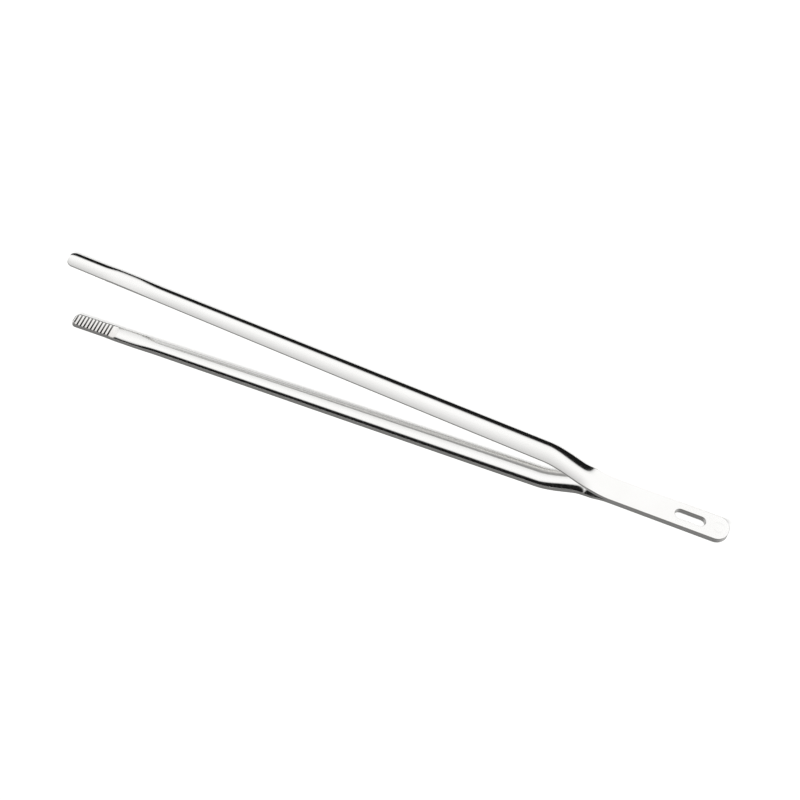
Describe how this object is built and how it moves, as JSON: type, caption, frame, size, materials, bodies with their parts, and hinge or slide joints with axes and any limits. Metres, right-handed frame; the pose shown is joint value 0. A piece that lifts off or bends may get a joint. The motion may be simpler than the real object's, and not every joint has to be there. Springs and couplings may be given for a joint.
{
  "type": "tweezer tongs",
  "caption": "Long sprung tongs pressed from sheet steel: flat welded tail with a hanging slot, gutter-shaped arms and solid toothed jaws.",
  "frame": {"origin": "middle of the tool's box at the level of the surface that it lies on, on its side", "axes": "+X from the hanging end to the jaws, +Y across the jaw opening, +Z across the width of the strips"},
  "size_m": [0.3001, 0.0464, 0.0114],
  "materials": {
    "blade_steel": "finely brushed stainless steel sheet, nearly bright",
    "jaw_steel": "machined stainless steel with cut grooves",
    "weld_steel": "fused spot weld metal"
  },
  "bodies": {
    "tail": {"right_tail_leaf": "blade_steel", "left_tail_leaf": "blade_steel", "weld_nuggets": "weld_steel"},
    "right_blade": {"right_arm": "blade_steel", "right_jaw_pad": "jaw_steel"},
    "left_blade": {"left_arm": "blade_steel", "left_jaw_pad": "jaw_steel"}
  },
  "joints": [
    {"name": "right_blade_flex", "type": "hinge", "parent": "tail", "child": "right_blade", "pos_m": [-0.09485, -0.00123, 0.0057], "axis": [0, 0, 1], "range_deg": [0, 4.85], "stiffness_Nm_per_rad": 14},
    {"name": "left_blade_flex", "type": "hinge", "parent": "tail", "child": "left_blade", "pos_m": [-0.09485, 0.00123, 0.0057], "axis": [0, 0, -1], "range_deg": [0, 4.85], "stiffness_Nm_per_rad": 14}
  ]
}
